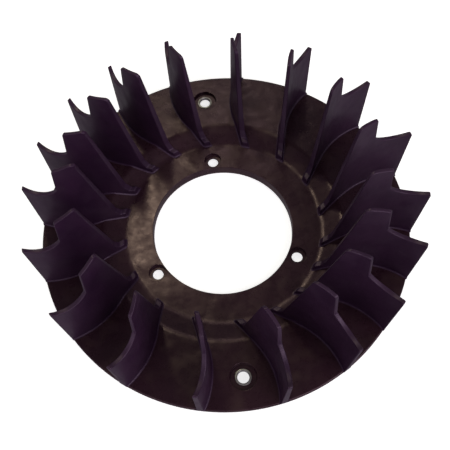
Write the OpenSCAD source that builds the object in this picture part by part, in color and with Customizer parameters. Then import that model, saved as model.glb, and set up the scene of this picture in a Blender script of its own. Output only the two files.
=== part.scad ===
// Flywheel cooling fan of a small engine.
// A dished plastic disc with a large centre bore carries eighteen tall curved blades.
// Three screws near the bore and two near the rim hold it to the face of the flywheel.
// +Z is the bore axis and points to the bladed side. The lowest point, the end of the
// locating collar, is on z = 0. The two rim screw holes are on the Y axis.

/* [Disc] */
// Outside diameter of the disc, mm
disc_d = 220; // [180:1:250]
// Diameter of the centre bore, mm
bore_d = 85; // [60:1:90]
// Wall thickness of the moulding, mm
wall = 3.8; // [2.5:0.1:5]
// Height of the bladed face of the hub above the collar end, mm
hub_top = 7; // [6:0.1:10]
// Height of the bladed face of the deck above the collar end, mm
deck_top = 11.6; // [10:0.1:16]
// Radius where the flat hub ends and the slope to the deck begins, mm
slope_in_r = 60; // [57:0.5:62]
// Radius where the slope ends and the flat deck begins, mm
slope_out_r = 71.5; // [66:0.5:74]
// Radial thickness of the locating collar round the bore, mm
collar_wall = 2.4; // [1.5:0.1:2.6]

/* [Hub screws] */
// Number of screws near the bore
hub_screw_count = 3; // [3:1:4]
// Diameter of the circle through the hub screws, mm
hub_screw_pcd = 96.5; // [96.5:0.5:106]
// Diameter of a hub screw hole, mm
hub_screw_d = 6.5; // [5:0.1:7]
// Diameter of the round recess for a hub screw head, mm
hub_recess_d = 10.6; // [9:0.1:11]
// Depth of the recess for a hub screw head, mm
hub_recess_h = 2.4; // [1:0.1:2.4]

/* [Rim screws] */
// Diameter of the circle through the two rim screws, mm
rim_screw_pcd = 184; // [176:0.5:192]
// Diameter of the round recess for a rim screw head, mm
rim_recess_d = 14.6; // [12:0.1:17]
// Depth of the recess for a rim screw head, mm
rim_recess_h = 2.2; // [1:0.1:2.4]
// Outside diameter of the metal bush in a rim screw hole, mm
bush_od = 9.2; // [8.4:0.1:11]
// Diameter of the hole through the bush, mm
bush_bore_d = 6.6; // [5.5:0.1:7]
// Height that the bush stands above the floor of its recess, mm
bush_proud = 0.4; // [0.1:0.1:1]
// Width of the chamfer at the mouth of the bush, mm
bush_chamfer = 0.4; // [0.2:0.1:0.6]

/* [Blades] */
// Angles of the nine blades of one half, clockwise from the rim screw, degrees
blade_angles = [13.3, 36.4, 58.2, 79.4, 99.4, 114.9, 132.6, 149.7, 169.8];
// Thickness of a blade at the hub face, mm
blade_root_t = 3.4; // [2.6:0.1:3.8]
// Thickness of a blade at its crown, mm
blade_top_t = 1.9; // [1.4:0.1:2.4]
// Radius where the toe of a blade meets the hub, mm
toe_r = 59.4; // [57:0.1:59.9]
// Radius of the inner end of the short ledge on top of the toe, mm
ledge_in_r = 60; // [59.6:0.1:61]
// Depth of that inner end below the deck, mm
ledge_in_drop = 0.5; // [0.2:0.1:2]
// Radius of the outer end of the ledge, mm
ledge_out_r = 63; // [62:0.1:64]
// Height of that outer end above the deck, mm
ledge_out_h = 0; // [0:0.1:2]
// Radius of the heel, where the steep inner edge of a blade starts, mm
heel_r = 65.3; // [64.5:0.1:68]
// Height of the heel above the deck, mm
heel_h = 4.5; // [4:0.1:8]
// Radius of the inner end of the crown, mm
crown_in_r = 75.2; // [72:0.1:78]
// Height of the inner end of the crown above the deck, mm
crown_in_h = 65.4; // [55:0.1:70]
// Radius of the outer end of the crown, mm
crown_out_r = 87.1; // [84:0.1:90]
// Height of the outer end of the crown above the deck, mm
crown_out_h = 63.3; // [52:0.1:68]
// Radius of the notch below the crown, mm
notch_r = 89.5; // [88:0.1:93]
// Height of the notch above the deck, mm
notch_h = 44.3; // [36:0.1:50]
// Depth of the hollow in the outer top edge, mm
hollow = 3.8; // [1:0.1:5]
// Radius of the outer edge and pointed tip of a blade, mm
tip_r = 110.4; // [109:0.1:112]
// Height of the pointed tip above the deck, mm
tip_h = 42.6; // [35:0.1:48]
// Angle between the straight inner part of a blade and the tip radius, degrees
blade_lean = 22.5; // [15:0.5:30]
// Radius of the curved outer part of a blade, mm
bend_r = 47.6; // [40:0.1:60]
// Angle through which the outer part curves, degrees
bend_turn = 41.2; // [30:0.1:50]
// Length of the straight inner part, measured in from the bend, mm
straight_len = 24; // [21:0.5:30]

/* [Hidden] */
$fn = 96;
slack = 1; // extra length on cutting tools so that they pass right through
hub_bottom = hub_top - wall;
deck_bottom = deck_top - wall;
bush_seat = deck_top - rim_recess_h;
crown_z = deck_top + crown_in_h;
half_count = len(blade_angles);

// The underside of the slope is shifted outwards so that the wall stays equally thick.
slope_angle = atan((deck_top - hub_top) / (slope_out_r - slope_in_r));
slope_shift = wall * tan(slope_angle / 2);

// The bend centre lies so that the curved part ends at the tip, on the blade's own X axis.
tip_bearing = 90 + blade_lean - bend_turn;
bend_centre = [tip_r, 0] - bend_r * [cos(tip_bearing), sin(tip_bearing)];
overrun = 8; // extra turn past the tip, trimmed off by the side outline, degrees

// The hollow of the outer top edge is an arc from just under the notch to the tip.
notch_step = 0.3; // short upright edge between the notch and the arc
edge_run = [tip_r - notch_r, tip_h - notch_h + notch_step];
edge_len = norm(edge_run);
hollow_r = edge_len * edge_len / (8 * hollow) + hollow / 2;
hollow_centre = [(notch_r + tip_r) / 2, deck_top + (notch_h - notch_step + tip_h) / 2]
    + (hollow_r - hollow) * [-edge_run[1], edge_run[0]] / edge_len;

// Half section of the dished disc: collar, flat hub, slope and flat deck.
module disc_section() {
    polygon([
        [bore_d / 2, 0],
        [bore_d / 2 + collar_wall, 0],
        [bore_d / 2 + collar_wall, hub_bottom],
        [slope_in_r + slope_shift, hub_bottom],
        [slope_out_r + slope_shift, deck_bottom],
        [disc_d / 2, deck_bottom],
        [disc_d / 2, deck_top],
        [slope_out_r, deck_top],
        [slope_in_r, hub_top],
        [bore_d / 2, hub_top]
    ]);
}

// One screw position of a ring of equally spaced holes, starting on +Y.
module on_circle(pcd, count) {
    for (i = [0 : count - 1])
        rotate([0, 0, 90 + i * 360 / count])
            translate([pcd / 2, 0, 0])
                children();
}

// The disc with its screw holes and the round recesses for the screw heads.
module fan_disc() {
    color([0.06, 0.055, 0.06])
    difference() {
        rotate_extrude() disc_section();
        on_circle(hub_screw_pcd, hub_screw_count) {
            translate([0, 0, -slack]) cylinder(h = hub_top + 2 * slack, d = hub_screw_d);
            translate([0, 0, hub_top - hub_recess_h]) cylinder(h = hub_recess_h + slack, d = hub_recess_d);
        }
        on_circle(rim_screw_pcd, 2) {
            translate([0, 0, deck_bottom - slack]) cylinder(h = wall + 2 * slack, d = bush_od);
            translate([0, 0, bush_seat]) cylinder(h = rim_recess_h + slack, d = rim_recess_d);
        }
    }
}

// A short metal bush that fills the rim screw hole and takes the clamping load of the screw.
module screw_bush(angle) {
    top = bush_seat + bush_proud;
    color([0.75, 0.75, 0.77])
    rotate([0, 0, angle])
        translate([rim_screw_pcd / 2, 0, 0])
            rotate_extrude()
                polygon([
                    [bush_bore_d / 2, deck_bottom],
                    [bush_od / 2, deck_bottom],
                    [bush_od / 2, top],
                    [bush_bore_d / 2 + bush_chamfer, top],
                    [bush_bore_d / 2, top - bush_chamfer]
                ]);
}

// Cross-section of a blade: thick at the root, thin at the crown, as the mould needs.
module blade_section() {
    polygon([
        [-blade_root_t / 2, hub_top - slack],
        [blade_root_t / 2, hub_top - slack],
        [blade_top_t / 2, crown_z + slack],
        [-blade_top_t / 2, crown_z + slack]
    ]);
}

// The curved sheet of a blade, seen from above: straight near the hub, then an arc to the tip.
module blade_sheet() {
    translate([bend_centre[0], bend_centre[1], 0])
        rotate([0, 0, tip_bearing + bend_turn]) {
            rotate_extrude(angle = -bend_turn - overrun)
                translate([bend_r, 0]) blade_section();
            translate([bend_r, 0, 0])
                rotate([90, 0, 180])
                    linear_extrude(height = straight_len) blade_section();
        }
}

// Side outline of a blade on a half plane through the axis. Its lower edge follows the disc.
module blade_outline() {
    difference() {
        polygon([
            [toe_r, hub_top],
            [slope_in_r, hub_top],
            [slope_out_r, deck_top],
            [tip_r, deck_top],
            [tip_r, deck_top + tip_h],
            [notch_r, deck_top + notch_h],
            [crown_out_r, deck_top + crown_out_h],
            [crown_in_r, deck_top + crown_in_h],
            [heel_r, deck_top + heel_h],
            [ledge_out_r, deck_top + ledge_out_h],
            [ledge_in_r, deck_top - ledge_in_drop]
        ]);
        intersection() {
            translate(hollow_centre) circle(r = hollow_r);
            translate([notch_r, deck_top]) square([tip_r - notch_r, crown_in_h]);
        }
    }
}

// Blade number i of the two equal halves, turned to its place on the disc.
module blade(i) {
    half = floor(i / half_count);
    angle = 90 - blade_angles[i % half_count] - 180 * half;
    color([0.08, 0.07, 0.1])
    rotate([0, 0, angle])
        intersection() {
            blade_sheet();
            rotate([0, 0, 180]) rotate_extrude() blade_outline();
        }
}

fan_disc();
screw_bush(90);  // screw_bush_rear
screw_bush(-90);  // screw_bush_front
blade(0);  // blade_01
blade(1);  // blade_02
blade(2);  // blade_03
blade(3);  // blade_04
blade(4);  // blade_05
blade(5);  // blade_06
blade(6);  // blade_07
blade(7);  // blade_08
blade(8);  // blade_09
blade(9);  // blade_10
blade(10);  // blade_11
blade(11);  // blade_12
blade(12);  // blade_13
blade(13);  // blade_14
blade(14);  // blade_15
blade(15);  // blade_16
blade(16);  // blade_17
blade(17);  // blade_18
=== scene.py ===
"""Looks of a flywheel cooling fan: a moulded plastic disc, eighteen blades and two metal bushes.

Lengths are in millimetres until a mesh is made. Blade shapes are worked out in the fan's own
terms: r is the distance from the axis, z the height, and w the distance from a blade's middle.
"""
import math

import bmesh
import bpy
import numpy as np
from mathutils import Matrix, Vector
from mathutils.geometry import delaunay_2d_cdt


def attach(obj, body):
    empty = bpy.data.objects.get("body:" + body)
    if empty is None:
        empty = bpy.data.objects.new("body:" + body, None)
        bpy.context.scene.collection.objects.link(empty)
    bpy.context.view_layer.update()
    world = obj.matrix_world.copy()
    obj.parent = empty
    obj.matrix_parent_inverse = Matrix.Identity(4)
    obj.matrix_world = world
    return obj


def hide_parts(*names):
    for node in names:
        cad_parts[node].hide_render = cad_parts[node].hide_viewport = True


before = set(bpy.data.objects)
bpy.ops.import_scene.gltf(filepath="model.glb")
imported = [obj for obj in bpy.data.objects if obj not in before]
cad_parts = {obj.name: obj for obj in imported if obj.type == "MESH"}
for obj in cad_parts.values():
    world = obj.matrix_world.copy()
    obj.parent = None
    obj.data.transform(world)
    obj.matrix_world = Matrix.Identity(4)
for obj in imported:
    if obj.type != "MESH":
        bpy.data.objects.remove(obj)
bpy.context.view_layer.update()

# Meshes: metres in a millimetre, distance at which points weld, the angle from which an edge is
# sharp, and how many steps a narrow and a wide rounding are cut into
MM = 0.001
WELD = 0.002
SHARP_ANGLE = 40
ROUND_STEPS = 3
WIDE_ROUND_STEPS = 5

# Disc
RIM_R = 110.0
BORE_R = 42.5
HUB_TOP = 7.0
DECK_TOP = 11.6
WALL = 3.8
HUB_BOTTOM = HUB_TOP - WALL
DECK_BOTTOM = DECK_TOP - WALL
SLOPE_IN_R = 60.0
SLOPE_OUT_R = 71.5
SLOPE_BLEND = 4.0
SLOPE_STEPS = 30
COLLAR_WALL = 2.4
RIM_ROUND = 0.9
SMALL_ROUND = 0.25
SECTORS = 360

# Plain rings of the disc's mesh: two beside the rim screws, one under the deck, two in the bore
DECK_IN_R = 77.5
DECK_OUT_R = 105.0
UNDER_IN_R = 78.0
BORE_RINGS = (2.4, 4.6)

# Bushes
BUSH_R = 4.6
BUSH_BORE_R = 3.3
BUSH_PROUD = 0.4
BUSH_ROUND = 0.15
BUSH_MOUTH = 0.5
BUSH_MOUTH_KNEE = (0.12, 0.34)
BUSH_FOOT = 0.3
BUSH_TURN_STEP = 5

# Screw holes. mouth and under are the roundings at the two ends of a hole. A window is the part
# of the disc's mesh that is cut open for a hole: its inner and outer radius on each face, its
# half width in sectors and its number of rings.
FIRST_SCREW = 90
HOLE_LIP = 0.2
HUB_SCREWS = {
    "count": 3, "r": 48.25, "top": HUB_TOP, "recess": 2.4, "recess_r": 5.3, "hole_r": 3.25,
    "mouth": 0.12, "under": 0.04,
    "window_top": (42.8, 55.0), "window_bottom": (BORE_R + COLLAR_WALL, 53.0),
    "window_half": 8, "window_steps": 16,
}
RIM_SCREWS = {
    "count": 2, "r": 92.0, "top": DECK_TOP, "recess": 2.2, "recess_r": 7.3, "hole_r": BUSH_R,
    "mouth": 0.45, "under": 0.2,
    "window_top": (83.5, 101.5), "window_bottom": (83.5, 101.5),
    "window_half": 6, "window_steps": 12,
}

# Blades. The draft runs on past the hub's face and the crown by DRAFT_MARGIN, and the skirt under
# a root reaches SINK into the disc.
BLADE_ANGLES = (13.3, 36.4, 58.2, 79.4, 99.4, 114.9, 132.6, 149.7, 169.8)
ROOT_T = 3.4
TOP_T = 1.9
LEAN = 22.5
BEND_R = 47.6
BEND_TURN = 41.2
TIP_R = 110.4
CROWN_Z = 77.0
DRAFT_MARGIN = 1
ROOT_FILLET = 1.1
FILLET_STEPS = 6
EDGE_ROUND = 0.45
EDGE_BENDS = (0, 30, 60, 90)
SINK = 0.3

# Side outline of a blade from the toe to the tip: (r, z, corner radius)
TOE = (59.4, HUB_TOP, 0.0)
LEDGE = ((60.0, 11.1, 0.7), (63.0, 11.6, 1.0), (65.3, 16.1, 2.2))
CROWN_IN = (75.2, CROWN_Z, 2.4)
CROWN_OUT = (87.1, 74.9, 1.6)
NOTCH = (89.5, 55.9, 1.6)
TIP = (TIP_R, 54.2, 0.7)
HOLLOW = 3.8

# How finely that outline is cut: steps round each corner, and along each stretch between them.
# HOLLOW_TRIM points are left off each end of the hollow, and none is within HOLLOW_GAP of the notch.
LEDGE_TURN = 4
CROWN_TURN = 8
NOTCH_TURN = 5
TIP_TURN = 4
LEDGE_RUN = 3
INNER_RUN = 16
CROWN_RUN = 6
NOTCH_RUN = 9
HOLLOW_RUN = 18
OUTER_RUN = 20
HOLLOW_TRIM = 2
HOLLOW_GAP = 0.3

# The triangles of a blade's side faces: their size, how much of it stays clear of the outline,
# the distance at which points merge, and the mode that returns only what is inside the outline
FILL_STEP = 2.5
FILL_CLEAR = 0.7
FILL_MERGE = 1e-6
FILL_INSIDE = 1

# Plastics: two cloud colours, dust film, roughness, stretch of the flow streaks, reflection tint
DISC_LOOK = {
    "dark": (0.019, 0.0058, 0.0106), "light": (0.029, 0.0106, 0.0168),
    "film": (0.050, 0.029, 0.026), "roughness": 0.27, "stretch": (1, 1, 1),
    "sheen": (1.0, 0.68, 0.82),
}
BLADE_LOOK = {
    "dark": (0.022, 0.0078, 0.0245), "light": (0.033, 0.0120, 0.0345),
    "film": (0.038, 0.020, 0.039), "roughness": 0.40, "stretch": (1, 1, 0.3),
    "sheen": (1.0, 0.76, 1.0),
}
CLOUD_SIZE = 22
DUST_SIZE = 11
DUST_SHARE = 0.5
DUST_DULLING = 0.12
STREAK_SIZE = 5
STREAK_DEPTH = 0.05
STREAK_GLOSS = (-0.06, 0.08)
SKIN_SIZE = 12
SKIN_DEPTH = 0.6
GRAIN_SIZE = 0.55
GRAIN_DEPTH = 0.012
PLASTIC_IOR = 1.5

# Steel and floor
STEEL_CLEAN = (0.46, 0.43, 0.45)
STEEL_TARNISHED = (0.30, 0.28, 0.29)
TARNISH_SIZE = 1.8
TURNING_SIZE = 0.5
TURNING_STRETCH = (1, 1, 9)
TURNING_DEPTH = 0.01
PAPER_DARK = (0.92, 0.92, 0.92)
PAPER_LIGHT = (0.95, 0.95, 0.95)
PAPER_SIZE = 60
PAPER_ROUGHNESS = 0.9
PAPER_GLOW = 0.75
FLOOR_GAP = 0.2
FLOOR_REACH = 4000

# Brightness of the room by the sine of the height above the horizon
ROOM_GLOW = (
    (-1.0, 0.18), (-0.03, 0.26), (0.03, 0.38), (0.16, 0.30), (0.34, 0.20), (0.6, 0.17), (1.0, 0.14),
)
ROOM_GREEN = 0.94

# Soft lights: name, place, target, size, power in watts, colour
LIGHTS = (
    ("window_glare", (-160, 480, 880), (-50, 10, 8), (80, 200), 0.95, (0.96, 1.0, 0.62)),
    ("far_window", (60, 730, 900), (0, 85, 12), (260, 130), 0.26, (1.0, 0.95, 0.76)),
    ("near_left", (-900, -1000, 1100), (0, 0, 20), (1400, 1400), 5, (1.0, 0.95, 0.98)),
    ("near_right", (900, -1000, 1100), (0, 0, 20), (1400, 1400), 13, (1.0, 0.95, 1.0)),
)

# Camera: place, angles in degrees, lens and sensor, shift as a share of the frame
CAMERA_PLACE = (-10.26, -157.44, 339.87)
CAMERA_ELEVATION = 65.79
CAMERA_HEADING = 3.67
CAMERA_ROLL = -10.59
CAMERA_LENS = 48.23
CAMERA_SENSOR = 36
CAMERA_SHIFT = (0.0747, 0.0416)
CAMERA_NEAR = 10

bend_start = math.radians(90 + LEAN)
tip_bearing = math.radians(90 + LEAN - BEND_TURN)
tip_way = np.array([math.cos(tip_bearing), math.sin(tip_bearing)])
BEND_CENTRE = np.array([TIP_R, 0.0]) - BEND_R * tip_way


# ---------------------------------------------------------------- shapes

def arc(centre, radius, start, end, steps):
    """Points of an arc in a plane, angles in degrees."""
    turn = np.radians(np.linspace(start, end, steps + 1))
    return [(centre[0] + radius * math.cos(a), centre[1] + radius * math.sin(a)) for a in turn]


def straight(start, end, steps):
    """Points from start to end, without either of them."""
    return [
        (start[0] + (end[0] - start[0]) * i / steps, start[1] + (end[1] - start[1]) * i / steps)
        for i in range(1, steps)
    ]


def spread(limits, steps):
    """Evenly spaced numbers between two limits, both included."""
    return list(np.linspace(*limits, steps + 1))


def round_corner(before, corner, after, radius, steps):
    """The arc that rounds a corner between two straight edges."""
    corner = np.array(corner)
    back = np.array(before) - corner
    forth = np.array(after) - corner
    back /= np.linalg.norm(back)
    forth /= np.linalg.norm(forth)
    half = math.acos(float(np.clip(back @ forth, -1, 1))) / 2
    middle = (back + forth) / np.linalg.norm(back + forth)
    centre = corner + middle * radius / math.sin(half)
    start = corner + back * radius / math.tan(half) - centre
    end = corner + forth * radius / math.tan(half) - centre
    first = math.atan2(start[1], start[0])
    turn = (math.atan2(end[1], end[0]) - first + math.pi) % (2 * math.pi) - math.pi
    return [
        (centre[0] + radius * math.cos(first + turn * i / steps),
         centre[1] + radius * math.sin(first + turn * i / steps))
        for i in range(steps + 1)
    ]


def disc_top(r):
    """Height of the bladed face at distance r, with the slope's two corners blended."""
    rise = (DECK_TOP - HUB_TOP) / (SLOPE_OUT_R - SLOPE_IN_R)
    half = SLOPE_BLEND / 2

    def ramp(x):
        return np.where(x < -half, 0.0, np.where(x > half, x, (x + half) ** 2 / (2 * SLOPE_BLEND)))

    return HUB_TOP + rise * (ramp(r - SLOPE_IN_R) - ramp(r - SLOPE_OUT_R))


def half_thickness(z):
    """Half the thickness of a blade at height z: the mould's draft thins it upwards."""
    low = HUB_TOP - DRAFT_MARGIN
    share = (z - low) / (CROWN_Z + DRAFT_MARGIN - low)
    return (ROOT_T + (TOP_T - ROOT_T) * share) / 2


def on_blade(r, w):
    """Place on a blade seen from above, at distance r from the axis and w from its middle."""
    r, w = np.broadcast_arrays(np.asarray(r, float), np.asarray(w, float))
    outward = np.array([math.cos(bend_start), math.sin(bend_start)])
    inward = np.array([-math.sin(bend_start), math.cos(bend_start)])
    seam = BEND_CENTRE + (BEND_R + w)[..., None] * outward
    along = seam @ inward
    run = -along - np.sqrt(np.maximum(along ** 2 - (seam ** 2).sum(-1) + r ** 2, 0))
    reach = np.hypot(*BEND_CENTRE)
    radius = BEND_R + w
    cosine = (r ** 2 - reach ** 2 - radius ** 2) / (2 * reach * radius)
    turn = math.atan2(BEND_CENTRE[1], BEND_CENTRE[0]) + np.arccos(np.clip(cosine, -1, 1))
    bent = BEND_CENTRE + radius[..., None] * np.stack([np.cos(turn), np.sin(turn)], -1)
    return np.where((run > 0)[..., None], seam + run[..., None] * inward, bent)


def blade_points(r, z, w):
    """The (r, z, w) of a blade as points in its own frame."""
    r, z, w = np.broadcast_arrays(r, z, w)
    return np.concatenate([on_blade(r, w), z[..., None]], -1)


def turned(points, degrees):
    """Points turned about the axis."""
    a = math.radians(degrees)
    turn = np.array([[math.cos(a), math.sin(a), 0], [-math.sin(a), math.cos(a), 0], [0, 0, 1]])
    return points @ turn


# ---------------------------------------------------------------- meshes

class Shell:
    """Collects points and faces, and makes one welded mesh of them."""

    def __init__(self):
        self.points = []
        self.faces = []

    def add_points(self, points):
        """Adds points and returns the number of the first."""
        first = len(self.points)
        self.points.extend(tuple(p) for p in np.asarray(points, float).reshape(-1, 3))
        return first

    def add_grid(self, points, closed=False):
        """Adds rows of points with faces between them. A closed grid joins up at the row ends."""
        rows, columns = points.shape[:2]
        first = self.add_points(points)
        last = columns if closed else columns - 1
        for i in range(rows - 1):
            row = first + i * columns
            following = row + columns
            for j in range(last):
                k = (j + 1) % columns
                self.faces.append((row + j, row + k, following + k, following + j))

    def piece(self, name, material):
        """Makes the mesh object: welded, any opening closed, smooth but for its sharp edges."""
        mesh = bpy.data.meshes.new(name)
        mesh.from_pydata([[c * MM for c in p] for p in self.points], [], self.faces)
        tidy = bmesh.new()
        tidy.from_mesh(mesh)
        bmesh.ops.remove_doubles(tidy, verts=tidy.verts, dist=WELD * MM)
        loose = [v for v in tidy.verts if not v.link_faces]
        bmesh.ops.delete(tidy, geom=loose, context="VERTS")
        rims = [e for e in tidy.edges if e.is_boundary]
        if rims:
            made = bmesh.ops.holes_fill(tidy, edges=rims, sides=0)
            bmesh.ops.triangulate(tidy, faces=made["faces"])
        bmesh.ops.recalc_face_normals(tidy, faces=tidy.faces)
        tidy.to_mesh(mesh)
        tidy.free()
        mesh.shade_smooth()
        mesh.set_sharp_from_angle(angle=math.radians(SHARP_ANGLE))
        mesh.materials.append(material)
        thing = bpy.data.objects.new(name, mesh)
        bpy.context.scene.collection.objects.link(thing)
        evener = thing.modifiers.new("even_normals", "WEIGHTED_NORMAL")
        evener.keep_sharp = True
        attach(thing, "root")
        return thing


# ---------------------------------------------------------------- disc

def hole_profile(screws):
    """(radius, height) down a screw hole: mouth, recess wall, recess floor, bore and underside."""
    top = screws["top"]
    bottom = top - WALL
    floor_z = top - screws["recess"]
    recess_r = screws["recess_r"]
    hole_r = screws["hole_r"]
    mouth = screws["mouth"]
    under = screws["under"]
    return (
        arc((recess_r + mouth, top - mouth), mouth, 90, 180, WIDE_ROUND_STEPS)
        + arc((recess_r - HOLE_LIP, floor_z + HOLE_LIP), HOLE_LIP, 0, -90, ROUND_STEPS)
        + arc((hole_r + HOLE_LIP, floor_z - HOLE_LIP), HOLE_LIP, 90, 180, ROUND_STEPS)
        + arc((hole_r + under, bottom + under), under, 180, 270, ROUND_STEPS)
    )


def disc_profile():
    """Closed section of the disc as (r, z), out along the top and back along the bottom."""
    blend = SLOPE_BLEND / 2
    slope_r = spread((SLOPE_IN_R - blend, SLOPE_OUT_R + blend), SLOPE_STEPS)
    top_r = spread(HUB_SCREWS["window_top"], HUB_SCREWS["window_steps"])
    top_r += [r for r in slope_r if r > top_r[-1]]
    top_r += [DECK_IN_R]
    top_r += spread(RIM_SCREWS["window_top"], RIM_SCREWS["window_steps"])
    top_r += [DECK_OUT_R]
    top = [(r, float(disc_top(r))) for r in top_r]
    outside = arc((RIM_R - RIM_ROUND, DECK_TOP - RIM_ROUND), RIM_ROUND, 90, 0, WIDE_ROUND_STEPS)
    outside += arc((RIM_R - RIM_ROUND, DECK_BOTTOM + RIM_ROUND), RIM_ROUND, 0, -90, WIDE_ROUND_STEPS)
    shift = WALL * math.tan(math.atan((DECK_TOP - HUB_TOP) / (SLOPE_OUT_R - SLOPE_IN_R)) / 2)
    bottom_r = [DECK_OUT_R]
    bottom_r += spread(RIM_SCREWS["window_bottom"], RIM_SCREWS["window_steps"])[::-1]
    bottom_r += [UNDER_IN_R]
    bottom = [(r, DECK_BOTTOM) for r in bottom_r]
    bottom += [(r, float(disc_top(r - shift)) - WALL) for r in slope_r[::-1]]
    inner_r = spread(HUB_SCREWS["window_bottom"], HUB_SCREWS["window_steps"])[::-1]
    bottom += [(r, HUB_BOTTOM) for r in inner_r]
    collar_r = BORE_R + COLLAR_WALL
    collar = arc((collar_r - SMALL_ROUND, SMALL_ROUND), SMALL_ROUND, 0, -90, ROUND_STEPS)
    collar += arc((BORE_R + SMALL_ROUND, SMALL_ROUND), SMALL_ROUND, -90, -180, ROUND_STEPS)
    bore = [(BORE_R, z) for z in BORE_RINGS]
    bore += arc((BORE_R + SMALL_ROUND, HUB_TOP - SMALL_ROUND), SMALL_ROUND, 180, 90, ROUND_STEPS)
    return top + outside + bottom + collar + bore


def window_loop(rows, columns):
    """The grid places round the edge of a window, in order."""
    low, high = rows
    left, right = columns
    loop = [(low, j) for j in range(left, right)]
    loop += [(i, right) for i in range(low, high)]
    loop += [(high, j) for j in range(right, left, -1)]
    loop += [(i, left) for i in range(high, low, -1)]
    return loop


def make_disc(material):
    """The disc: a turned section, with a window opened and filled again round each screw hole."""
    profile = disc_profile()
    count = len(profile)
    shell = Shell()
    turns = np.radians(np.arange(SECTORS) * 360 / SECTORS)
    rings = np.array([[(r * math.cos(a), r * math.sin(a), z) for a in turns] for r, z in profile])
    shell.add_points(rings)
    skipped = set()

    def row_at(r, z):
        return min(range(count), key=lambda i: abs(profile[i][0] - r) + abs(profile[i][1] - z))

    def open_hole(screws, angle, section):
        bearing_out = math.radians(angle)
        centre = screws["r"] * np.array([math.cos(bearing_out), math.sin(bearing_out)])
        columns = (angle - screws["window_half"], angle + screws["window_half"])
        edges = []
        for side, z in (("window_top", screws["top"]), ("window_bottom", screws["top"] - WALL)):
            rows = sorted(row_at(r, z) for r in screws[side])
            skipped.update((i, j % SECTORS) for i in range(*rows) for j in range(*columns))
            loop = window_loop(rows, columns)
            places = np.array([rings[i, j % SECTORS] for i, j in loop])
            bearing = np.arctan2(places[:, 1] - centre[1], places[:, 0] - centre[0])
            order = np.argsort((bearing - bearing_out) % (2 * math.pi))
            edges.append(places[order])
        number = len(edges[0])
        even = bearing_out + 2 * math.pi * np.arange(number) / number
        ring = np.stack([np.cos(even), np.sin(even)], -1)
        circles = [
            np.concatenate([centre + ring * r, np.full((number, 1), z)], -1) for r, z in section
        ]
        rows = [edges[0], (edges[0] + circles[0]) / 2] + circles
        rows += [(edges[1] + circles[-1]) / 2, edges[1]]
        shell.add_grid(np.array(rows), closed=True)

    for screws in (HUB_SCREWS, RIM_SCREWS):
        section = hole_profile(screws)
        for i in range(screws["count"]):
            open_hole(screws, FIRST_SCREW + i * 360 // screws["count"], section)

    for i in range(count):
        row = i * SECTORS
        following = (i + 1) % count * SECTORS
        for j in range(SECTORS):
            if (i, j) not in skipped:
                k = (j + 1) % SECTORS
                shell.faces.append((row + j, row + k, following + k, following + j))
    disc = shell.piece("moulded_disc", material)
    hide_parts("fan_disc")


# ---------------------------------------------------------------- bushes

def make_bush(name, node, angle, material):
    """A turned bush with a chamfered mouth and softly broken edges."""
    top = DECK_TOP - RIM_SCREWS["recess"] + BUSH_PROUD
    knee_in, knee_down = BUSH_MOUTH_KNEE
    rim_r = BUSH_R - BUSH_ROUND
    section = (
        arc((rim_r, top - BUSH_ROUND), BUSH_ROUND, 0, 90, ROUND_STEPS)
        + [
            (BUSH_BORE_R + BUSH_MOUTH, top),
            (BUSH_BORE_R + knee_in, top - knee_down),
            (BUSH_BORE_R, top - BUSH_MOUTH),
            (BUSH_BORE_R, DECK_BOTTOM + BUSH_FOOT),
            (BUSH_BORE_R + BUSH_FOOT, DECK_BOTTOM),
        ]
        + arc((rim_r, DECK_BOTTOM + BUSH_ROUND), BUSH_ROUND, -90, 0, ROUND_STEPS)
    )
    turns = np.radians(np.arange(0, 360, BUSH_TURN_STEP))
    centre_r = RIM_SCREWS["r"]
    rows = [[(r * math.cos(a) + centre_r, r * math.sin(a), z) for a in turns] for r, z in section]
    shell = Shell()
    shell.add_grid(turned(np.array(rows + rows[:1]), angle), closed=True)
    bush = shell.piece(name, material)
    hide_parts(node)


# ---------------------------------------------------------------- blades

def hollow_arc():
    """The hollow in a blade's top edge, from the notch to the tip."""
    notch = np.array(NOTCH[:2])
    tip = np.array(TIP[:2])
    step = tip - notch
    length = float(np.hypot(*step))
    radius = length ** 2 / (8 * HOLLOW) + HOLLOW / 2
    upward = np.array([-step[1], step[0]]) / length
    centre = (tip + notch) / 2 + upward * (radius - HOLLOW)
    first, last = (math.degrees(math.atan2(*(place - centre)[::-1])) for place in (notch, tip))
    return arc(centre, radius, first, last, HOLLOW_RUN)


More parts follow.
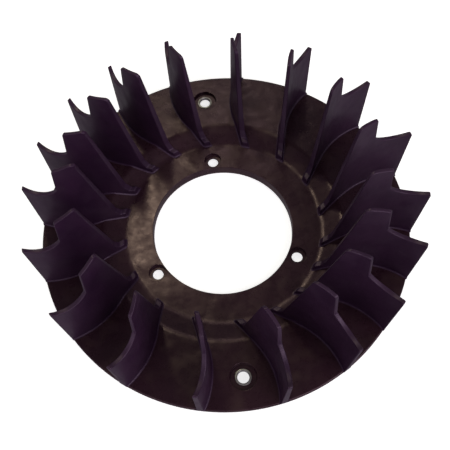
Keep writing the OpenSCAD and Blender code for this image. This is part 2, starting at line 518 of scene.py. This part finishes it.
def outline_parts():
    """The side outline as three curves: inner edge, top edge and outer edge."""

    def corner(before, mark, after, steps):
        return round_corner(before[:2], mark[:2], after[:2], mark[2], steps)

    marks = [TOE, *LEDGE, CROWN_IN]
    hollow = hollow_arc()
    start_z = float(disc_top(TOE[0])) + ROOT_FILLET
    share = (start_z - TOE[1]) / (LEDGE[0][1] - TOE[1])
    inner = [(TOE[0] + share * (LEDGE[0][0] - TOE[0]), start_z)]
    for i in range(1, len(LEDGE) + 1):
        turn = corner(marks[i - 1], marks[i], marks[i + 1], LEDGE_TURN)
        inner += straight(inner[-1], turn[0], LEDGE_RUN) + turn

    turn = corner(LEDGE[-1], CROWN_IN, CROWN_OUT, CROWN_TURN)
    inner += straight(inner[-1], turn[0], INNER_RUN) + turn[:CROWN_TURN // 2 + 1]
    top = turn[CROWN_TURN // 2:]
    turn = corner(CROWN_IN, CROWN_OUT, NOTCH, NOTCH_TURN)
    top += straight(top[-1], turn[0], CROWN_RUN) + turn
    turn = corner(CROWN_OUT, NOTCH, hollow[HOLLOW_TRIM + 1], NOTCH_TURN)
    top += straight(top[-1], turn[0], NOTCH_RUN) + turn
    top += [p for p in hollow[HOLLOW_TRIM:-HOLLOW_TRIM] if p[0] > turn[-1][0] + HOLLOW_GAP]

    turn = corner(hollow[-HOLLOW_TRIM - 1], TIP, (TIP_R, DECK_TOP), TIP_TURN)
    top += turn[:TIP_TURN // 2 + 1]
    foot = (TIP_R, DECK_TOP + ROOT_FILLET)
    outer = turn[TIP_TURN // 2:]
    outer += straight(turn[-1], foot, OUTER_RUN) + [foot]
    return np.array(inner), np.array(top), np.array(outer)


def share_along(curve):
    """How far along a curve each of its points lies, from 0 to 1."""
    steps = np.hypot(*np.diff(curve, axis=0).T)
    return np.concatenate([[0], np.cumsum(steps)]) / steps.sum()


def at_shares(curve, shares):
    """The points of a curve at the given shares of its length."""
    own = share_along(curve)
    return np.stack([np.interp(shares, own, curve[:, 0]), np.interp(shares, own, curve[:, 1])], -1)


def fill_outline(outline):
    """Points and triangles that fill a closed outline of (r, z), with an even grid inside it."""
    low = outline.min(0)
    high = outline.max(0)
    columns = np.arange(low[0], high[0], FILL_STEP)
    rows = np.arange(low[1], high[1], FILL_STEP)
    grid = [(r, z) for r in columns for z in rows]
    clear = [p for p in grid if np.hypot(*(outline - p).T).min() > FILL_CLEAR * FILL_STEP]
    corners = [Vector(p) for p in (*outline.tolist(), *clear)]
    border = list(range(len(outline)))
    points, _, triangles, *_ = delaunay_2d_cdt(corners, [], [border], FILL_INSIDE, FILL_MERGE)
    return np.array(points), triangles


def add_sides(shell, left, above, right):
    """Adds both side faces of a blade and returns their lower edge as (r, z)."""
    base_r = left[0, 0] + (right[0, 0] - left[0, 0]) * share_along(above)
    base = np.stack([base_r, disc_top(base_r) + ROOT_FILLET], -1)
    outline = np.concatenate([base, right[1:], above[-2::-1], left[-2:0:-1]])
    flat, triangles = fill_outline(outline)
    for sign in (1, -1):
        w = sign * half_thickness(flat[:, 1])
        first = shell.add_points(blade_points(flat[:, 0], flat[:, 1], w))
        shell.faces.extend(tuple(first + k for k in triangle[::sign]) for triangle in triangles)
    return base


def add_edge(shell, inset, outward):
    """Adds the rounded strip between the side faces and returns its points as (r, z, w)."""
    bends = np.radians(EDGE_BENDS)
    across = []
    for sign, order in ((1, bends), (-1, bends[::-1])):
        for a in order:
            place = inset + EDGE_ROUND * math.sin(a) * outward
            place[0, 1] = inset[0, 1]
            place[-1, 1] = inset[-1, 1]
            w = sign * (half_thickness(place[:, 1]) - EDGE_ROUND * (1 - math.cos(a)))
            across.append(np.stack([place[:, 0], place[:, 1], w], -1))
    edge = np.array(across)
    shell.add_grid(blade_points(edge[..., 0], edge[..., 1], edge[..., 2]))
    return edge


def add_foot(shell, base, edge):
    """Adds the root fillet all round a blade, and a skirt under it that runs into the disc."""
    toe = edge[:, 0]
    tip = edge[:, -1]
    side_w = half_thickness(base[:, 1])
    plus = np.stack([base[:, 0], base[:, 1], side_w], -1)
    minus = np.stack([base[:, 0], base[:, 1], -side_w], -1)[::-1]
    ring = np.concatenate([plus[:-1], tip, minus[1:-1], toe[::-1]])

    # The way in which the fillet spreads from each point of the ring, as (r, w)
    bends = np.radians(EDGE_BENDS)
    turn_out = np.concatenate([bends, bends[::-1]])
    side = np.repeat([1, -1], len(bends))
    toe_ways = np.stack([-np.sin(turn_out), np.cos(turn_out) * side], -1)
    tip_ways = np.stack([np.zeros(len(tip)), tip[:, 2] / abs(tip[-1, 2])], -1)
    ways = np.concatenate([
        np.tile((0.0, 1.0), (len(plus) - 1, 1)), tip_ways,
        np.tile((0.0, -1.0), (len(minus) - 2, 1)), toe_ways[::-1],
    ])
    skirt = []
    for a in np.radians(np.linspace(90, 0, FILLET_STEPS + 1)):
        reach = ROOT_FILLET * (1 - math.sin(a))
        rise = ROOT_FILLET * (1 - math.cos(a))
        r = ring[:, 0] + reach * ways[:, 0]
        w = ring[:, 2] + reach * ways[:, 1]
        skirt.append(blade_points(r, disc_top(r) + rise, w))
    sunk_r = np.minimum(r, RIM_R - 2 * SINK)
    skirt.append(blade_points(sunk_r, disc_top(sunk_r) - SINK, w))
    shell.add_grid(np.array(skirt), closed=True)


def blade_shell():
    """One blade in its own frame, its tip on the X axis."""
    inner, top, outer = outline_parts()
    outer = at_shares(outer[::-1], share_along(inner))[::-1]
    whole = np.concatenate([inner, top[1:], outer[1:]])
    steps = np.gradient(whole, axis=0)
    outward = np.stack([-steps[:, 1], steps[:, 0]], -1)
    outward /= np.linalg.norm(outward, axis=1)[:, None]
    outward[-1] = (1, 0)
    inset = whole - EDGE_ROUND * outward
    for end in (0, -1):
        inset[end, 1] = disc_top(inset[end, 0]) + ROOT_FILLET
    crown = len(inner) - 1
    tip = crown + len(top) - 1

    shell = Shell()
    base = add_sides(shell, inset[:crown + 1], inset[crown:tip + 1], inset[tip:][::-1])
    edge = add_edge(shell, inset, outward)
    add_foot(shell, base, edge)
    return shell


def make_blades(material):
    """Two equal halves of blades, all turned from one pattern."""
    pattern = blade_shell()
    points = np.array(pattern.points)
    half = len(BLADE_ANGLES)
    for i in range(2 * half):
        angle = 90 - BLADE_ANGLES[i % half] - 180 * (i // half)
        copy = Shell()
        copy.points = turned(points, angle).tolist()
        copy.faces = pattern.faces
        blade = copy.piece(f"moulded_blade_{i + 1:02d}", material)
        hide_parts(f"blade_{i + 1:02d}")


# ---------------------------------------------------------------- materials

class Nodes:
    """A material's node tree, built with short calls."""

    def __init__(self, name):
        self.material = bpy.data.materials.new(name)
        self.material.use_nodes = True
        self.tree = self.material.node_tree
        self.surface = self.tree.nodes["Principled BSDF"]
        self.place = self.tree.nodes.new("ShaderNodeTexCoord").outputs["Object"]

    def link(self, output, socket):
        self.tree.links.new(output, socket)

    def noise(self, size, detail, rough, stretch=(1, 1, 1), seed=0.0):
        """Noise whose features are about size across, as a value from 0 to 1."""
        spacing = self.tree.nodes.new("ShaderNodeMapping")
        spacing.inputs["Scale"].default_value = stretch
        spacing.inputs["Location"].default_value = (seed, seed, seed)
        self.link(self.place, spacing.inputs["Vector"])
        node = self.tree.nodes.new("ShaderNodeTexNoise")
        node.inputs["Scale"].default_value = 1 / (size * MM)
        node.inputs["Detail"].default_value = detail
        node.inputs["Roughness"].default_value = rough
        self.link(spacing.outputs["Vector"], node.inputs["Vector"])
        return node.outputs["Fac"]

    def remap(self, value, low, high, to_low=0.0, to_high=1.0):
        """The value with low to high carried over to to_low to to_high, and held there beyond."""
        node = self.tree.nodes.new("ShaderNodeMapRange")
        for socket, number in zip(node.inputs[1:5], (low, high, to_low, to_high)):
            socket.default_value = number
        self.link(value, node.inputs[0])
        return node.outputs[0]

    def mix(self, share, first, second):
        """A colour between first and second, by share."""
        node = self.tree.nodes.new("ShaderNodeMix")
        node.data_type = "RGBA"
        self.link(share, node.inputs[0])
        for socket, colour in ((node.inputs[6], first), (node.inputs[7], second)):
            if isinstance(colour, tuple):
                socket.default_value = (*colour, 1)
            else:
                self.link(colour, socket)
        return node.outputs[2]

    def maths(self, operation, first, second):
        """The result of an operation on two values, each a number or another node's output."""
        node = self.tree.nodes.new("ShaderNodeMath")
        node.operation = operation
        for socket, value in zip(node.inputs, (first, second)):
            if isinstance(value, float):
                socket.default_value = value
            else:
                self.link(value, socket)
        return node.outputs[0]

    def bump(self, height, depth, before=None):
        """A normal raised by height, on top of an earlier bump if there is one."""
        node = self.tree.nodes.new("ShaderNodeBump")
        node.inputs["Distance"].default_value = depth * MM
        self.link(height, node.inputs["Height"])
        if before is not None:
            self.link(before, node.inputs["Normal"])
        return node.outputs["Normal"]


def plastic(name, dark, light, film, roughness, stretch, sheen):
    """Black moulded plastic: cloudy colour, a thin dust film, flow streaks and a fine grain."""
    n = Nodes(name)
    cloud = n.remap(n.noise(CLOUD_SIZE, detail=4, rough=0.6), low=0.35, high=0.68)
    streak = n.noise(STREAK_SIZE, detail=5, rough=0.65, stretch=stretch, seed=3.1)
    dust = n.remap(n.noise(DUST_SIZE, detail=3, rough=0.5, seed=7.7), low=0.5, high=0.75)
    dust = n.maths("MULTIPLY", dust, DUST_SHARE)
    colour = n.mix(cloud, dark, light)
    colour = n.mix(dust, colour, film)
    n.link(colour, n.surface.inputs["Base Color"])
    glossy, dull = (roughness + change for change in STREAK_GLOSS)
    gloss = n.remap(streak, low=0.3, high=0.7, to_low=glossy, to_high=dull)
    gloss = n.maths("ADD", gloss, n.maths("MULTIPLY", dust, DUST_DULLING))
    n.link(gloss, n.surface.inputs["Roughness"])
    n.surface.inputs["IOR"].default_value = PLASTIC_IOR
    n.surface.inputs["Specular Tint"].default_value = (*sheen, 1)
    skin = n.bump(n.noise(SKIN_SIZE, detail=1.5, rough=0.4, seed=5.3), SKIN_DEPTH)
    skin = n.bump(streak, STREAK_DEPTH, skin)
    skin = n.bump(n.noise(GRAIN_SIZE, detail=2, rough=0.5), GRAIN_DEPTH, skin)
    n.link(skin, n.surface.inputs["Normal"])
    return n.material


def bright_metal():
    """Zinc-plated steel: a fine turned finish with faint tarnish."""
    n = Nodes("zinc_plated_steel")
    tarnish = n.remap(n.noise(TARNISH_SIZE, detail=4, rough=0.6), low=0.4, high=0.7)
    n.link(n.mix(tarnish, STEEL_CLEAN, STEEL_TARNISHED), n.surface.inputs["Base Color"])
    n.surface.inputs["Metallic"].default_value = 1.0
    gloss = n.remap(tarnish, low=0, high=1, to_low=0.38, to_high=0.55)
    n.link(gloss, n.surface.inputs["Roughness"])
    turning = n.noise(TURNING_SIZE, detail=3, rough=0.6, stretch=TURNING_STRETCH)
    n.link(n.bump(turning, TURNING_DEPTH), n.surface.inputs["Normal"])
    return n.material


def floor_paper():
    """White paper that glows a little, so that it stays white in the soft light."""
    n = Nodes("white_paper")
    tone = n.remap(n.noise(PAPER_SIZE, detail=4, rough=0.5), low=0.3, high=0.7)
    n.link(n.mix(tone, PAPER_DARK, PAPER_LIGHT), n.surface.inputs["Base Color"])
    n.surface.inputs["Roughness"].default_value = PAPER_ROUGHNESS
    n.surface.inputs["Emission Color"].default_value = (1, 1, 1, 1)
    n.surface.inputs["Emission Strength"].default_value = PAPER_GLOW
    return n.material


# ---------------------------------------------------------------- studio

def softbox(name, place, target, size, watts, colour):
    """A rectangular soft light at place, facing target."""
    lamp = bpy.data.lights.new(name, "AREA")
    lamp.shape = "RECTANGLE"
    lamp.size, lamp.size_y = (s * MM for s in size)
    lamp.energy = watts
    lamp.color = colour
    thing = bpy.data.objects.new(name, lamp)
    bpy.context.scene.collection.objects.link(thing)
    thing.location = Vector(place) * MM
    thing.rotation_euler = (Vector(target) - Vector(place)).to_track_quat("-Z", "Y").to_euler()


def make_floor():
    """A floor just below the fan, left out of its reflections."""
    reach = FLOOR_REACH * MM
    corners = [(x, y, 0) for x, y in ((-reach, -reach), (reach, -reach), (reach, reach), (-reach, reach))]
    floor = bpy.data.meshes.new("floor")
    floor.from_pydata(corners, [], [(0, 1, 2, 3)])
    floor.transform(Matrix.Translation((0, 0, -FLOOR_GAP * MM)))
    floor.materials.append(floor_paper())
    ground = bpy.data.objects.new("floor", floor)
    bpy.context.scene.collection.objects.link(ground)
    ground.visible_glossy = False


def make_room():
    """The light of the room all round: brightest near the horizon."""
    world = bpy.data.worlds.new("room")
    world.use_nodes = True
    tree = world.node_tree
    way = tree.nodes.new("ShaderNodeTexCoord")
    parts = tree.nodes.new("ShaderNodeSeparateXYZ")
    share = tree.nodes.new("ShaderNodeMapRange")
    share.inputs["From Min"].default_value = -1.0
    glow = tree.nodes.new("ShaderNodeValToRGB")
    tree.links.new(way.outputs["Generated"], parts.inputs[0])
    tree.links.new(parts.outputs["Z"], share.inputs["Value"])
    tree.links.new(share.outputs[0], glow.inputs[0])
    tree.links.new(glow.outputs["Color"], tree.nodes["Background"].inputs["Color"])
    stops = glow.color_ramp.elements
    stops.remove(stops[1])
    for height, level in ROOM_GLOW:
        stop = stops[0] if height == ROOM_GLOW[0][0] else stops.new((height + 1) / 2)
        stop.color = (level, level * ROOM_GREEN, level, 1)
    bpy.context.scene.world = world


def make_camera():
    """The camera, turned by heading and elevation and then rolled about its own axis."""
    elevation = math.radians(CAMERA_ELEVATION)
    heading = math.radians(CAMERA_HEADING)
    roll = math.radians(CAMERA_ROLL)
    forward = Vector((-math.sin(heading) * math.cos(elevation),
                      math.cos(heading) * math.cos(elevation), -math.sin(elevation)))
    level = Vector((math.cos(heading), math.sin(heading), 0))
    over = level.cross(forward)
    right = level * math.cos(roll) + over * math.sin(roll)
    up = over * math.cos(roll) - level * math.sin(roll)
    camera = bpy.data.cameras.new("camera")
    camera.sensor_width = CAMERA_SENSOR
    camera.lens = CAMERA_LENS
    camera.shift_x, camera.shift_y = CAMERA_SHIFT
    camera.clip_start = CAMERA_NEAR * MM
    thing = bpy.data.objects.new("camera", camera)
    bpy.context.scene.collection.objects.link(thing)
    axes = Matrix((right, up, -forward)).transposed()
    thing.matrix_world = Matrix.Translation(Vector(CAMERA_PLACE) * MM) @ axes.to_4x4()
    bpy.context.scene.camera = thing


steel = bright_metal()
make_disc(plastic("black_disc_plastic", **DISC_LOOK))
make_blades(plastic("black_blade_plastic", **BLADE_LOOK))
make_bush("turned_bush_rear", "screw_bush_rear", 90, steel)
make_bush("turned_bush_front", "screw_bush_front", -90, steel)
make_floor()
make_room()
for light in LIGHTS:
    softbox(*light)
make_camera()
bpy.context.scene.view_settings.view_transform = "Standard"
